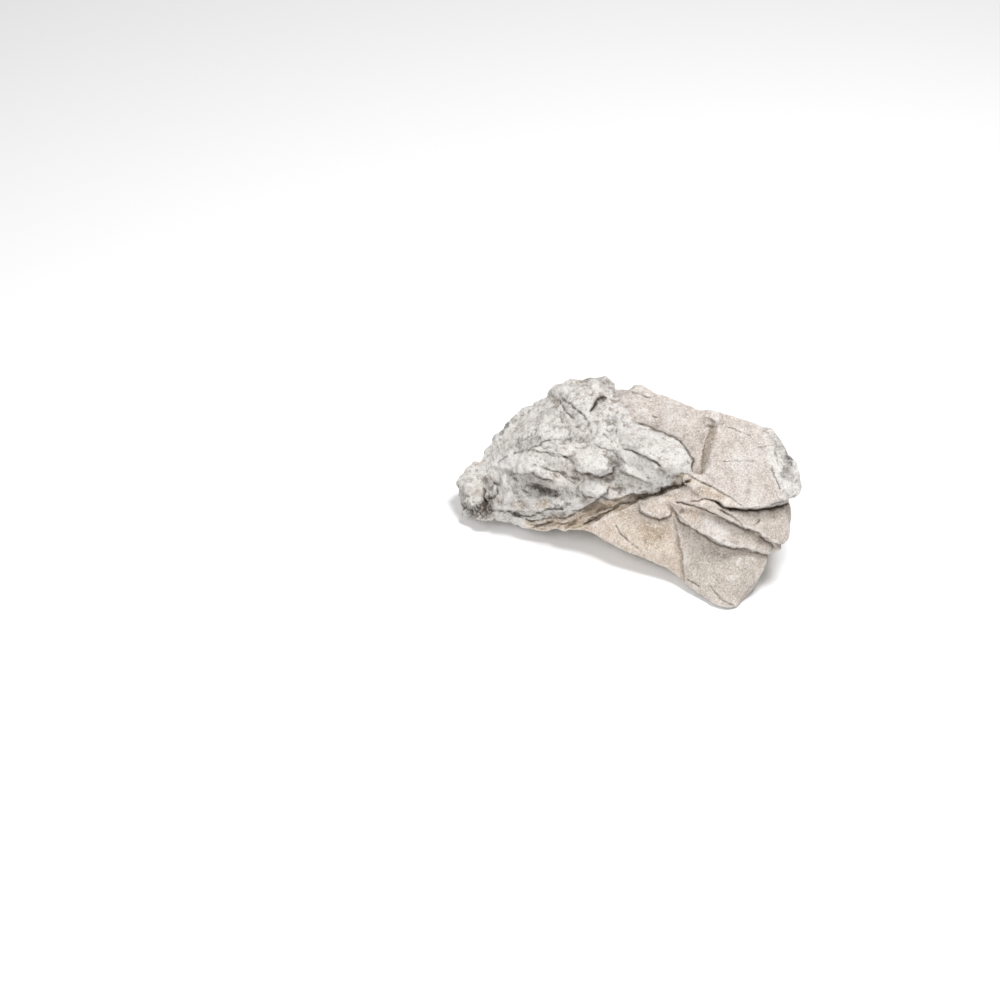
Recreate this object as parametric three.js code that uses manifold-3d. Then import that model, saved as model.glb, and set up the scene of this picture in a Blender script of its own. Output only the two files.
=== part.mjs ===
// A grey limestone boulder for a planted aquarium, of the wrinkled kind sold as elephant skin stone.
// Millimetres, +Z up. The stone lies on the flat patch under it, with the origin below its middle.
import * as THREE from "three";
import { ConvexGeometry } from "three/addons/geometries/ConvexGeometry.js";
import { ImprovedNoise } from "three/addons/math/ImprovedNoise.js";
import { mergeVertices } from "three/addons/utils/BufferGeometryUtils.js";
import Module from "manifold-3d";

const wasm = await Module();
wasm.setup();

// Driving dimensions
const stoneLength = 243.5; // left tip to right tip, which everything is scaled to at the end
const fineEdge = 5.8; // longest edge of a facet on the wrinkled front
const plainEdge = 13; // longest edge of a facet elsewhere
const shortEdge = 2.4; // edges below this are closed up
const samePlace = 1e-3; // corners closer than this are one corner
const sliver = 0.5; // a facet with an edge product below this may face anywhere
const largestTurn = 0.7; // how far closing an edge may turn a facet, in radians
const lobeFlank = 0.6; // below 1 for lobes with steep flanks and flat tops
const stepDepth = 2.5; // of the step beside the slab
const crackReach = 6; // how far a cutter stands out of the stone

// The stone is drawn as an eye sees it that looks down on its front.
// A point is given by how far it lies across and up in that drawing, and by its height above the ground.
const eyeTilt = THREE.MathUtils.degToRad(40); // below the horizon
const eyeDistance = 1700;
const eyeAcross = -92; // where the line of sight meets the drawing
const eyeUp = 37;
const acrossAxis = new THREE.Vector3(1, 0, 0);
const upAxis = new THREE.Vector3(0, Math.sin(eyeTilt), Math.cos(eyeTilt));
const towardsEye = new THREE.Vector3(0, -Math.cos(eyeTilt), Math.sin(eyeTilt));
const eye = onDrawing(eyeAcross, eyeUp).addScaledVector(towardsEye, eyeDistance);

function onDrawing(across, up) {
  return new THREE.Vector3().addScaledVector(acrossAxis, across).addScaledVector(upAxis, up);
}

function seen(across, up, height) {
  const ray = onDrawing(across, up).sub(eye);
  return eye.clone().addScaledVector(ray, (height - eye.z) / ray.z);
}

const seenAll = (points) => points.map((point) => seen(...point));
const hidden = (points) => points.map((point) => new THREE.Vector3(...point));

// Solids and meshes
function solidFrom(geometry) {
  const bare = new THREE.BufferGeometry().setAttribute("position", geometry.getAttribute("position"));
  if (geometry.index) bare.setIndex(geometry.index);
  const merged = mergeVertices(bare, samePlace);
  return new wasm.Manifold(
    new wasm.Mesh({
      numProp: 3,
      vertProperties: merged.attributes.position.array,
      triVerts: new Uint32Array(merged.index.array),
    }),
  );
}

function geometryFrom(solid) {
  const mesh = solid.getMesh();
  const corners = new Float32Array(mesh.numVert * 3);
  for (let i = 0; i < mesh.numVert; i++) {
    corners.set(mesh.vertProperties.subarray(i * mesh.numProp, i * mesh.numProp + 3), i * 3);
  }
  return new THREE.BufferGeometry()
    .setAttribute("position", new THREE.BufferAttribute(corners, 3))
    .setIndex(new THREE.BufferAttribute(mesh.triVerts, 1));
}

// A block with flat faces between the points that are seen and those that are hidden
function block(seenPoints, hiddenPoints) {
  return solidFrom(new ConvexGeometry([...seenAll(seenPoints), ...hidden(hiddenPoints)]));
}

// A thin wedge that opens a crack along seen points. It goes in by its depth and closes to an edge there.
function cutter(points, gap, depth) {
  const rings = points.map(([across, up, height]) => {
    const mouth = [up - gap / 2, up + gap / 2].map((level) =>
      seen(across, level, height).addScaledVector(towardsEye, crackReach),
    );
    return [...mouth, seen(across, up, height).addScaledVector(towardsEye, -depth)];
  });
  return rings
    .slice(1)
    .map((ring, i) => solidFrom(new ConvexGeometry([...rings[i], ...ring])))
    .reduce((whole, piece) => whole.add(piece));
}

// Smooth lower face, in two planes that meet at a low ridge
const lowerLeft = block(
  [
    [-32.4, 17.3, 24], [-21.6, 10.1, 21], [-8.6, 2.2, 18], [11.5, -4.7, 15], [23.8, -8.6, 13],
    [40.3, -17.3, 11], [39.6, -3.6, 25], [36.7, 13.7, 38.5], [32.4, 25.9, 48], [-17.3, 29.5, 39],
    [8.6, 38.9, 52], [26.6, 42.5, 59],
  ],
  [[10, -5, 0], [-20, 19, 0], [40, -20, 0], [-25, 50, 0], [40, 50, 0], [-20, 50, 50], [35, 50, 60]],
);
const lowerRight = block(
  [
    [19.4, -6.5, 14], [33.1, -15.1, 10], [42.5, -23, 7], [49.7, -29.5, 5], [61.2, -37.4, 3],
    [71.3, -40.7, 2], [78.5, -38.9, 3], [85, -31, 8], [91.5, -18.6, 17], [99.5, -8.5, 26], [96, -3.6, 31],
    [39.6, -3.6, 25], [36.7, 13.7, 38.5], [34.6, 25.9, 47], [51.8, 22.3, 51], [77, 15.1, 49],
    [98.6, 7.9, 39],
  ],
  [
    [30, -15, 0], [60, -50, 0], [74, -60, 0], [85.5, -43, 0], [102, 4, 0], [100, 45, 0], [60, 60, 0],
    [104, 10, 45], [50, 50, 60],
  ],
);

// Thin beds that fan out to the right, each one standing a little proud of the one below
const lowBed = block(
  [
    [32, 29.5, 52], [33.4, 25.6, 50], [38.2, 21.6, 48.5], [44.6, 18.7, 48], [50.4, 14.4, 47],
    [57.6, 10.4, 46.5], [64.4, 5.8, 44.5], [71.3, 2.9, 42.5], [81.4, 1.8, 39.5], [92.2, 0, 34.5],
    [101.5, -2.6, 31], [32, 38.9, 60], [39.6, 34.6, 59], [57.6, 28.4, 61], [72.7, 21.6, 58.5],
    [89.3, 14.6, 48], [102.2, 8.6, 41], [111.9, 1.4, 34],
  ],
  [[104, -16, 27], [107, 30, 30], [40, 30, 40], [50, 40, 60], [100, 40, 50]],
);
const middleBed = block(
  [
    [39.6, 34.6, 61], [50.4, 31.2, 62.5], [64.4, 25.6, 63], [72.7, 21.6, 60.5], [81.4, 18.7, 56.5],
    [89.3, 14.6, 50.5], [102.2, 8.6, 43.5], [107.3, 4.3, 39.5], [112.3, 4.3, 38], [115.6, 7.2, 38],
    [117, 12.5, 41], [115.5, 20.9, 47], [112, 33.1, 57], [98.6, 30.5, 61.5], [81.4, 29.5, 64.5],
    [69.8, 30.5, 67.5], [61.6, 36.7, 71],
  ],
  [[110, 0, 30], [112, 25, 40], [50, 40, 50], [60, 50, 70], [110, 48, 55]],
);
const slab = block(
  [
    [113, 33.8, 63], [105.8, 31.8, 63], [98.6, 30.5, 65], [90.7, 29.1, 66], [81.4, 29.5, 68],
    [69.8, 30.5, 69.5], [61.6, 36.7, 71], [54, 37.4, 70], [46, 42, 71], [40, 48, 75], [43, 55, 79],
    [53.7, 55.6, 80], [59.8, 72, 87.2], [66, 89, 94.6], [59, 101, 99.5], [47.5, 101, 99.5],
    [77, 96.8, 97.5], [93, 92.2, 94.6], [104.4, 86.4, 91], [109.5, 76, 86], [118.3, 65, 80],
    [120.5, 54.9, 76], [124.3, 47.5, 71.5], [125, 41, 68.5], [121.3, 36.7, 65],
  ],
  [[117, 24, 52], [114, 40, 62], [100, 52, 70], [70, 60, 76], [50, 62, 76], [45, 55, 60], [60, 40, 60]],
);

// Facet between the beds, where their cracks meet
const pivot = block(
  [
    [24, 36, 55], [31, 30, 54], [38, 32, 60], [48, 32, 63.5], [56, 36, 69], [48, 44, 71.5],
    [38, 48, 69.5], [26, 43, 60.5],
  ],
  [[30, 20, 30], [60, 20, 40], [50, 40, 50], [20, 40, 40]],
);

// Upper back between the wrinkled mass and the slab
const shoulder = block(
  [
    [-3.2, 112.6, 93], [12, 117.5, 96.5], [26, 115, 99], [40, 106, 99.5], [47.5, 101.6, 99.5],
    [61.2, 95, 95.5], [65, 88.6, 94], [62.6, 81.4, 90.8], [58.9, 72, 86.4], [56, 62.2, 82],
    [52.3, 55, 77.5], [43, 51, 74], [20, 60, 82],
  ],
  [[-10, 100, 60], [30, 76, 72], [62, 60, 70], [0, 50, 50]],
);

// Wrinkled mass on the left, with its brim over the front
const wrinkledMass = block(
  [
    [-84, 24, 20], [-62, 29, 30], [-45, 31, 35], [-31.4, 31.5, 38], [-14.4, 37.7, 46], [2.2, 41.5, 54],
    [15.4, 40.8, 57], [23, 43.6, 60], [32, 47.7, 65], [42, 50, 70],
    
    [-96, 24, 14], [-103, 40, 22], [-106, 58, 30], [-102.5, 71, 36], [-96.5, 77, 41], [-92, 86, 47],
    [-87.1, 96.5, 55], [-72.7, 103.7, 63], [-65, 113, 73], [-38, 116, 83], [-6, 112, 90], [-20, 80, 83],
    [-49, 73, 72], [-78, 58, 52], [9, 73, 87], [30, 73, 90], [-35, 100, 85], [0, 100, 93],
  ],
  [
    [-102, 64, 0], [-95, 85, 8], [-60, 98, 15], [-20, 102, 20], [20, 92, 25], [-90, 45, 0], [20, 60, 30],
    [0, 90, 75],
  ],
);

// Knob at the left tip, and the one at the back
const leftKnob = block(
  [
    [-124.6, 31, 8], [-121.5, 24.4, 6], [-112, 22.5, 8], [-98, 22, 12], [-125, 36.7, 12],
    [-124.2, 48, 18], [-117, 54.5, 24], [-110.5, 61, 29], [-100, 62, 34], [-96, 44, 26],
  ],
  [[-110, 62, 0], [-98, 70, 8], [-90, 50, 0]],
);
const backKnob = block(
  [
    [-61, 114.5, 76], [-58, 119.5, 80], [-47, 122.5, 84], [-38, 127, 88], [-29.5, 130, 91],
    [-20, 128.5, 92], [-12, 124.5, 92.5], [-7, 118.5, 92], [-12, 108, 91], [-30, 100, 86], [-50, 99, 77],
    [-60, 106, 74],
  ],
  [[-56, 92, 50], [-12, 96, 70], [-34, 102, 70]],
);

// Crumbly brown seam under the brim
const seam = block(
  [
    [-97.9, 22.3, 10], [-84.2, 19.2, 12], [-73.4, 17.5, 14], [-61.9, 18, 17], [-50.4, 17.8, 20],
    [-42.5, 15.5, 21], [-33, 16, 24], [-17.3, 27.7, 37], [-3.2, 33.8, 45], [8.6, 38.2, 50],
    [23, 42.5, 56.5], [33.8, 46.8, 62], [43, 49.7, 67], [-81, 28, 21], [-55, 33, 32], [-5, 42, 51],
  ],
  [[-90, 45, 0], [-60, 40, 0], [-25, 40, 0], [0, 50, 20], [-60, 80, 0], [40, 40, 50]],
);

// Back of the stone, hidden in the drawing: a steep broken face with two ledges
const backFoot = block(
  [],
  [
    [-96, 70, 0], [-60, 94, 0], [0, 103, 0], [60, 90, 0], [106, 44, 0], [-60, 40, 0], [60, 0, 0],
    [-101, 68, 22], [-72, 97, 30], [-20, 108, 34], [30, 103, 38], [72, 88, 40], [107, 44, 34],
    [109, 18, 30], [0, 60, 50],
  ],
);
const backMiddle = block(
  [],
  [
    [-70, 92, 46], [-45, 100, 58], [0, 101, 63], [32, 92, 61], [68, 74, 60], [102, 47, 58],
    [110, 28, 58], [-50, 92, 66], [-10, 94, 76], [27, 80, 74], [58, 62, 74], [96, 46, 74],
    [-60, 50, 30], [0, 100, 30], [60, 80, 30], [108, 44, 32], [60, 20, 40], [109, 24, 38],
  ],
);

// Cutters: a step beside the slab, and open cracks under the slab, beside the knob and under the brim
const step = [
  [[65.5, 91, 95.5], [61, 93, 95.5], [46, 99, 97]],
  [[62.6, 81.4, 91.5], [54.5, 80, 88], [40, 86, 89.5]],
  [[59.8, 72, 87.2], [52.8, 70, 83], [38, 74, 83.5]],
  [[53.7, 54, 79], [51.6, 54, 77.5], [40, 58, 76.5]],
].map(([edge, foot, end]) => [
  seen(...edge),
  seen(...edge).addScaledVector(towardsEye, crackReach),
  seen(...foot).addScaledVector(towardsEye, -stepDepth),
  seen(...end).addScaledVector(towardsEye, crackReach),
]);
const cuts = [
  ...step.slice(1).map((ring, i) => solidFrom(new ConvexGeometry([...step[i], ...ring]))),
  cutter([[66, 33, 71], [74, 30.5, 69], [84, 29.3, 67], [98.6, 30, 64.5], [118, 34.5, 60]], 2.6, 14),
  cutter([[-14, 112, 92], [-22, 106, 89], [-27, 99, 86]], 3.2, 11),
  cutter([[-36, 15, 22], [-17.3, 27.2, 38], [8.6, 37.8, 51], [33.8, 46.4, 64]], 2, 7),
];

// Lobes and dents of the wrinkled mass, in the drawing: where, how long and wide, how far turned
// in degrees, and how far they stand out. Negative rises are dents.
const lobes = [
  { at: [17.3, 74], size: [31, 12.5], turn: -33, rise: 7 }, // longest finger
  { at: [12, 59], size: [23, 9.5], turn: -35, rise: 6 }, // finger below it
  { at: [5, 50.5], size: [17, 7], turn: -30, rise: 4.5 },
  { at: [-25, 64], size: [15, 13], turn: -10, rise: 6 }, // pale flake
  { at: [-25, 47], size: [12, 9.5], turn: 5, rise: 5 },
  { at: [-46, 49], size: [13, 8], turn: 10, rise: 3.5 },
  { at: [-62, 44.5], size: [13, 6], turn: -15, rise: -6 }, // shaded hollow
  { at: [-66, 58], size: [17, 10], turn: -30, rise: 5 },
  { at: [-89, 43], size: [7.5, 11], turn: 25, rise: 5.5 },
  { at: [-115, 42], size: [12, 15], turn: 15, rise: 4 }, // left tip
  { at: [-102, 37], size: [4.5, 15], turn: 12, rise: -5 }, // fold beside it
  { at: [-115, 29], size: [9, 5.5], turn: -25, rise: -4 }, // dark hollow below it
  { at: [-82, 67], size: [20, 11], turn: 28, rise: 5 },
  { at: [-49, 78], size: [19, 12], turn: -5, rise: 4 },
  { at: [-68, 90], size: [18, 11], turn: 45, rise: 4.5 },
  { at: [-38, 84], size: [14, 4], turn: -6, rise: -3 },
  { at: [-32, 110], size: [27, 15], turn: -8, rise: 7 }, // knob at the back
  { at: [0, 100], size: [20, 13], turn: -35, rise: 4 },
  { at: [20, 103], size: [24, 12], turn: -25, rise: 3 },
  { at: [-80, 24], size: [24, 6], turn: -8, rise: 3.5 }, // pale rim at the foot
  { at: [19.6, 33.5], size: [12, 8.5], turn: -10, rise: 5 }, // tongue under the brim
];

function riseAt(across, up) {
  let rise = 0;
  for (const lobe of lobes) {
    const turn = THREE.MathUtils.degToRad(lobe.turn);
    const [x, y] = [across - lobe.at[0], up - lobe.at[1]];
    const along = (x * Math.cos(turn) + y * Math.sin(turn)) / lobe.size[0];
    const wide = (y * Math.cos(turn) - x * Math.sin(turn)) / lobe.size[1];
    const inside = 1 - along * along - wide * wide;
    if (inside > 0) rise += lobe.rise * inside ** lobeFlank;
  }
  return rise;
}

// Where a point lies across and up in the drawing
function drawnAt(point) {
  const fromEye = point.clone().sub(eye);
  const scale = eyeDistance / -fromEye.dot(towardsEye);
  return [eyeAcross + fromEye.dot(acrossAxis) * scale, eyeUp + fromEye.dot(upAxis) * scale];
}

const noise = new ImprovedNoise();
const wavelengths = [
  { span: 42, reach: 2.6 },
  { span: 17, reach: 1.6 },
  { span: 8, reach: 0.8 },
];

// The wrinkled mass is rougher than the bedded end. The brim between them rises to the right.
const mass = { right: 40, fade: 50, brimSlope: 0.32, brimFoot: 28, brimTop: 38, extra: 1.2 };

function roughnessAt([across, up]) {
  const left = THREE.MathUtils.smoothstep(mass.right - across, 0, mass.fade);
  const height = up - mass.brimSlope * across;
  const aboveBrim = THREE.MathUtils.smoothstep(height, mass.brimFoot, mass.brimTop);
  return 1 + mass.extra * left * aboveBrim;
}

// Moves a point a little, the same way wherever it is asked
function weathered(point) {
  const moved = point.clone();
  const roughness = roughnessAt(drawnAt(point));
  for (const { span, reach: smoothReach } of wavelengths) {
    const reach = smoothReach * roughness;
    const at = point.clone().divideScalar(span);
    moved.x += reach * noise.noise(at.x + 11.3, at.y + 4.7, at.z + 2.1);
    moved.y += reach * noise.noise(at.x + 37.9, at.y + 21.2, at.z + 8.8);
    moved.z += reach * noise.noise(at.x + 63.1, at.y + 47.4, at.z + 15.6);
  }
  return moved;
}

// The wrinkled front has small facets, and everything else larger ones
const front = { right: 50, lowest: 15, aboveGround: 12, back: 95 };

function edgeLimit(point) {
  const [across, up] = drawnAt(point);
  const inDrawing = across < front.right && up > front.lowest;
  const onFront = point.z > front.aboveGround && point.y < front.back;
  return inDrawing && onFront ? fineEdge : plainEdge;
}

// Splits each edge that is too long at its middle, in both of its triangles alike
function splitLongEdges(geometry) {
  const positions = geometry.getAttribute("position");
  const corners = [];
  const middleOf = (p, q) => {
    const middle = p.clone().add(q).multiplyScalar(0.5);
    return p.distanceTo(q) > edgeLimit(middle) ? middle : null;
  };
  for (let i = 0; i < positions.count; i += 3) {
    const points = [0, 1, 2].map((k) => new THREE.Vector3().fromBufferAttribute(positions, i + k));
    const middles = points.map((p, k) => middleOf(p, points[(k + 1) % 3]));
    const cut = middles.filter(Boolean).length;
    if (cut === 0) corners.push(...points);
    if (cut === 1) {
      const k = middles.findIndex(Boolean);
      const [p, q, r] = [0, 1, 2].map((step) => points[(k + step) % 3]);
      corners.push(p, middles[k], r, middles[k], q, r);
    }
    if (cut === 2) {
      const k = middles.findIndex((middle) => !middle);
      const [p, q, r] = [0, 1, 2].map((step) => points[(k + step) % 3]);
      const [qr, rp] = [middles[(k + 1) % 3], middles[(k + 2) % 3]];
      corners.push(qr, r, rp);
      if (p.distanceTo(qr) < q.distanceTo(rp)) corners.push(p, q, qr, p, qr, rp);
      else corners.push(p, q, rp, q, qr, rp);
    }
    if (cut === 3) {
      const [p, q, r] = points;
      const [pq, qr, rp] = middles;
      corners.push(p, pq, rp, pq, q, qr, rp, qr, r, pq, qr, rp);
    }
  }
  return new THREE.BufferGeometry().setFromPoints(corners);
}

// Draws the ends of each edge that is too short together, where the surface stays closed
// and no facet turns over
function closeShortEdges(geometry) {
  const positions = geometry.getAttribute("position");
  const pointAt = (_, i) => new THREE.Vector3().fromBufferAttribute(positions, i);
  const facetAt = (_, i) => [0, 1, 2].map((k) => geometry.index.getX(3 * i + k));
  const points = Array.from({ length: positions.count }, pointAt);
  const facets = Array.from({ length: geometry.index.count / 3 }, facetAt);
  const facetsAt = points.map(() => new Set());
  facets.forEach((facet) => facet.forEach((corner) => facetsAt[corner].add(facet)));
  const neighbours = (corner) => {
    const around = [...facetsAt[corner]].flat();
    return new Set(around.filter((other) => other !== corner));
  };
  const facing = (facet) => {
    const [p, q, r] = facet.map((corner) => points[corner]);
    return q.clone().sub(p).cross(r.clone().sub(p));
  };
  const staysUpright = (facet, corner, place) => {
    const before = facing(facet);
    const kept = points[corner];
    points[corner] = place;
    const after = facing(facet);
    points[corner] = kept;
    return before.length() < sliver || before.angleTo(after) < largestTurn;
  };
  const close = (kept, gone) => {
    const shared = [...facetsAt[kept]].filter((facet) => facetsAt[gone].has(facet));
    const nearKept = neighbours(kept);
    const common = [...neighbours(gone)].filter((corner) => nearKept.has(corner));
    if (shared.length !== 2 || common.length !== 2) return false;
    const place = points[kept].clone().lerp(points[gone], 0.5);
    const moves = (corner) =>
      [...facetsAt[corner]].every((facet) => shared.includes(facet) || staysUpright(facet, corner, place));
    if (!moves(kept) || !moves(gone)) return false;
    points[kept] = place;
    shared.forEach((facet) => facet.forEach((corner) => facetsAt[corner].delete(facet)));
    facetsAt[gone].forEach((facet) => {
      facet[facet.indexOf(gone)] = kept;
      facetsAt[kept].add(facet);
    });
    facetsAt[gone].clear();
    shared.forEach((facet) => facet.splice(0));
    return true;
  };
  const closeAnyAt = (corner) => {
    for (const other of neighbours(corner)) {
      if (points[corner].distanceTo(points[other]) < shortEdge && close(corner, other)) return true;
    }
    return false;
  };
  for (let closed = true; closed; ) {
    closed = false;
    points.forEach((_, corner) => {
      while (facetsAt[corner].size && closeAnyAt(corner)) closed = true;
    });
  }
  return new THREE.BufferGeometry().setFromPoints(facets.flat().map((corner) => points[corner]));
}

function weather(solid) {
  let fine = closeShortEdges(geometryFrom(solid));
  for (let before = 0; before !== fine.getAttribute("position").count; ) {
    before = fine.getAttribute("position").count;
    fine = splitLongEdges(fine);
  }
  fine = mergeVertices(closeShortEdges(mergeVertices(fine, samePlace)), samePlace);
  fine.computeVertexNormals();
  const positions = fine.getAttribute("position");
  const normals = fine.getAttribute("normal");
  const point = new THREE.Vector3();
  const normal = new THREE.Vector3();
  for (let i = 0; i < positions.count; i++) {
    point.fromBufferAttribute(positions, i);
    normal.fromBufferAttribute(normals, i);
    const facing = THREE.MathUtils.smoothstep(normal.dot(towardsEye), 0, 0.5);
    const moved = weathered(point).addScaledVector(towardsEye, riseAt(...drawnAt(point)) * facing);
    positions.setXYZ(i, moved.x, moved.y, moved.z);
  }
  return solidFrom(fine);
}

// Everything below the ground is cut off, so that the stone lies on a flat patch
function belowGround() {
  const side = stoneLength * 2;
  return solidFrom(new THREE.BoxGeometry(side, side, side).translate(0, 0, -side / 2));
}

const hiddenBlocks = [leftKnob, backKnob, backFoot, backMiddle];
const blocks = [lowerRight, lowBed, middleBed, slab, pivot, shoulder, wrinkledMass, seam, ...hiddenBlocks];
const joined = blocks.reduce((whole, piece) => whole.add(piece), lowerLeft);
const cracked = cuts.reduce((whole, cut) => whole.subtract(cut), joined);
const [outside] = cracked.decompose().sort((a, b) => b.volume() - a.volume()); // without gaps inside
const stoneSolid = weather(outside).subtract(belowGround());

const stone = new THREE.Mesh(
  geometryFrom(stoneSolid),
  new THREE.MeshStandardMaterial({ color: 0xc9c3ba, roughness: 0.95, metalness: 0 }),
);
stone.name = "stone";
stone.geometry.computeBoundingBox();
const box = stone.geometry.boundingBox;
const scale = stoneLength / box.getSize(new THREE.Vector3()).x;
const middle = box.getCenter(new THREE.Vector3()).multiplyScalar(scale);
stone.scale.setScalar(scale);
stone.position.set(-middle.x, -middle.y, 0);

const elephantSkinStone = new THREE.Group();
elephantSkinStone.add(stone);

export default elephantSkinStone;
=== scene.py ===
# Elephant skin stone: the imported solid, carved further and finished as weathered grey limestone.
import bpy
import bmesh
import math
import numpy as np
from mathutils import Matrix, Vector, noise


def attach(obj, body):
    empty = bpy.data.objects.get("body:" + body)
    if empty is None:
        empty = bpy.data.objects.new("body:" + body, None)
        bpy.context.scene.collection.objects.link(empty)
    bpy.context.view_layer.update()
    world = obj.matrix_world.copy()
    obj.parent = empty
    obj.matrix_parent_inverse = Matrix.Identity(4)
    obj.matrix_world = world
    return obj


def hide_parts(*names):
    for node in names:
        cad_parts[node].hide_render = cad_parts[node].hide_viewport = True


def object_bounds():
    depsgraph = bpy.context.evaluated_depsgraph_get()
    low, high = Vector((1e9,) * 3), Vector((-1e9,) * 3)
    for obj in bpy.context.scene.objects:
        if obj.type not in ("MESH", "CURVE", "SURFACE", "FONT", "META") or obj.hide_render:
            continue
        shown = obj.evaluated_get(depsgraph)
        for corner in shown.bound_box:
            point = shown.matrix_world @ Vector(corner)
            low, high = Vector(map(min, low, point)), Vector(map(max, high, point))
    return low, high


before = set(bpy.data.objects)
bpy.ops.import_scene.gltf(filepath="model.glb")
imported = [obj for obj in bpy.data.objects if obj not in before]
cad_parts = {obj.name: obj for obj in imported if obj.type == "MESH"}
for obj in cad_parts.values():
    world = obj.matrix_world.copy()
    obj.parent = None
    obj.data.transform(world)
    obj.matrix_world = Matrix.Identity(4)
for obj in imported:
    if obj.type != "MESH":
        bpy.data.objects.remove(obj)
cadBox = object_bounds()
print("frame loaded")

perMetre = 1000  # millimetres

# The carving is drawn as the camera sees it: millimetres across and up, from below the stone's middle
drawing = {
    "tilt": math.radians(40),  # how far the camera looks down
    "distance": 1700,
    "centre": (-92, 37),  # where the line of sight meets the drawing
    "shift": (2.83, -24.18, 0),  # from the drawing's origin to the stone's
}
acrossAxis = np.array((1, 0, 0))
upAxis = np.array((0, math.sin(drawing["tilt"]), math.cos(drawing["tilt"])))
towardsEye = np.array((0, -math.cos(drawing["tilt"]), math.sin(drawing["tilt"])))
eye = (
    acrossAxis * drawing["centre"][0]
    + upAxis * drawing["centre"][1]
    + towardsEye * drawing["distance"]
    + np.array(drawing["shift"])
)


def drawnAt(points):  # where points in millimetres lie in the drawing
    fromEye = points - eye
    scale = drawing["distance"] / -(fromEye @ towardsEye)
    across = drawing["centre"][0] + fromEye @ acrossAxis * scale
    up = drawing["centre"][1] + fromEye @ upAxis * scale
    return np.stack((across, up), axis=1)


view = {"lens": 85, "sensor": 36, "nearest": 0.05}


def makeCamera():
    lens = bpy.data.cameras.new("camera")
    lens.lens = view["lens"]
    lens.sensor_width = view["sensor"]
    lens.clip_start = view["nearest"]
    camera = bpy.data.objects.new("camera", lens)
    bpy.context.scene.collection.objects.link(camera)
    turned = Matrix((acrossAxis, upAxis, towardsEye)).transposed().to_4x4()
    camera.matrix_world = Matrix.Translation(Vector(eye) / perMetre) @ turned
    bpy.context.scene.camera = camera
    bpy.context.scene.view_settings.view_transform = "Standard"  # keeps the pale stone pale


makeCamera()
print("camera set")


# Masks over the points of a mesh, each from 0 to 1
def smoothStep(value, low, high):
    t = np.clip((value - low) / (high - low), 0, 1)
    return t * t * (3 - 2 * t)


# Distance to a drawn line, side (+ is left of its direction), and distance from its ends
def nearLine(places, line):
    line = np.array(line, float)
    best = np.full(len(places), 1e9)
    side = np.zeros(len(places))
    run = np.zeros(len(places))
    start = 0
    for a, b in zip(line, line[1:]):
        along = b - a
        length = np.hypot(*along)
        offset = places - a
        t = np.clip(offset @ along / length**2, 0, 1)
        gap = np.hypot(*(offset - t[:, None] * along).T)
        closer = gap < best
        turned = along[0] * offset[:, 1] - along[1] * offset[:, 0]
        best[closer] = gap[closer]
        side[closer] = np.sign(turned)[closer]
        run[closer] = (start + t * length)[closer]
        start += length
    return best, side, np.minimum(run, start - run)


def insideShape(places, shape, soft):  # 1 inside a drawn closed shape, fading out over its edge
    inside = np.zeros(len(places), bool)
    x, y = places.T
    for (ax, ay), (bx, by) in zip(shape, shape[1:] + shape[:1]):
        crosses = (ay > y) != (by > y)
        inside ^= crosses & (x < (bx - ax) * (y - ay) / ((by - ay) or 1e-9) + ax)
    gap = nearLine(places, shape + shape[:1])[0]
    return smoothStep(np.where(inside, gap, -gap), -soft, soft)


# Noise of a given grain, by point
def field(points, span, kind="plain", octaves=3, squeeze=(1, 1, 1), offset=0):
    at = points * (np.array(squeeze) / span) + offset
    ask = {
        "plain": lambda p: noise.fractal(p, 0.9, 2.1, octaves),
        "billow": lambda p: noise.turbulence(p, octaves, False, noise_basis="PERLIN_ORIGINAL") * 2 - 1,
        "dots": lambda p: noise.voronoi(p)[0][0],
    }[kind]
    return np.array([ask(p) for p in at.tolist()])


def adjacency(mesh):
    edges = np.empty(len(mesh.edges) * 2, np.int32)
    mesh.edges.foreach_get("vertices", edges)
    return edges.reshape(-1, 2)


def spread(values, edges, times):  # averages values with those of neighbouring points
    count = np.bincount(edges.ravel(), minlength=len(values))
    for _ in range(times):
        total = values.copy()
        for column in range(values.shape[1]):
            total[:, column] += np.bincount(edges[:, 0], values[edges[:, 1], column], len(values))
            total[:, column] += np.bincount(edges[:, 1], values[edges[:, 0], column], len(values))
        values = total / (count + 1)[:, None]
    return values


def pointsOf(mesh):
    points = np.empty(len(mesh.vertices) * 3)
    mesh.vertices.foreach_get("co", points)
    return points.reshape(-1, 3) * perMetre


def normalsOf(mesh):
    normals = np.empty(len(mesh.vertices) * 3)
    mesh.vertices.foreach_get("normal", normals)
    return normals.reshape(-1, 3)


def movePoints(mesh, points):
    mesh.vertices.foreach_set("co", (points / perMetre).ravel())
    mesh.update()


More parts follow.
